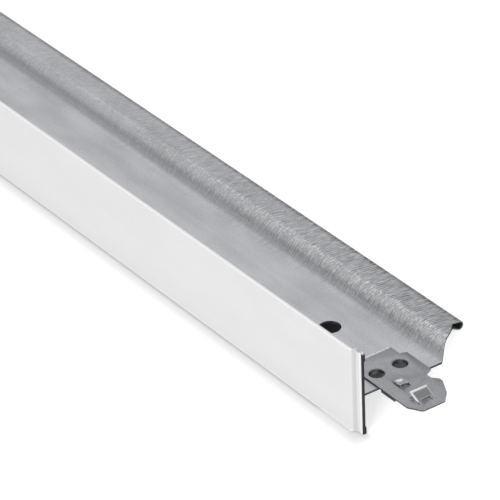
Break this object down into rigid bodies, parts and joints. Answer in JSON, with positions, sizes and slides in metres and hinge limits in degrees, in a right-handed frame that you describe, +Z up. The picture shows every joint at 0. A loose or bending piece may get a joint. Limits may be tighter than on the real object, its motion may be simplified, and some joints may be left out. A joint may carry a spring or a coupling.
{
  "type": "ceiling grid cross tee",
  "caption": "Suspended-ceiling cross tee: white capped flange, folded galvanised web with a stepped bulb, stepped flange ends and clinched stab-in end clips.",
  "frame": {"origin": "on the floor, under the middle of the tee's bounding box", "axes": "+X along the tee, towards the end that the picture shows; +Z up with the tee lying on its side; the white face looks along -Y and a little up"},
  "size_m": [0.612, 0.0404, 0.0231],
  "materials": {
    "galvanised_strip": "galvanised, spangled, satin",
    "white_cap": "prepainted white, satin",
    "clip_steel": "smooth zinc coated, satin"
  },
  "bodies": {
    "root": {"folded_strip": "galvanised_strip", "face_cap": "white_cap", "end_clip_near": "clip_steel", "end_clip_far": "clip_steel"}
  },
  "joints": []
}
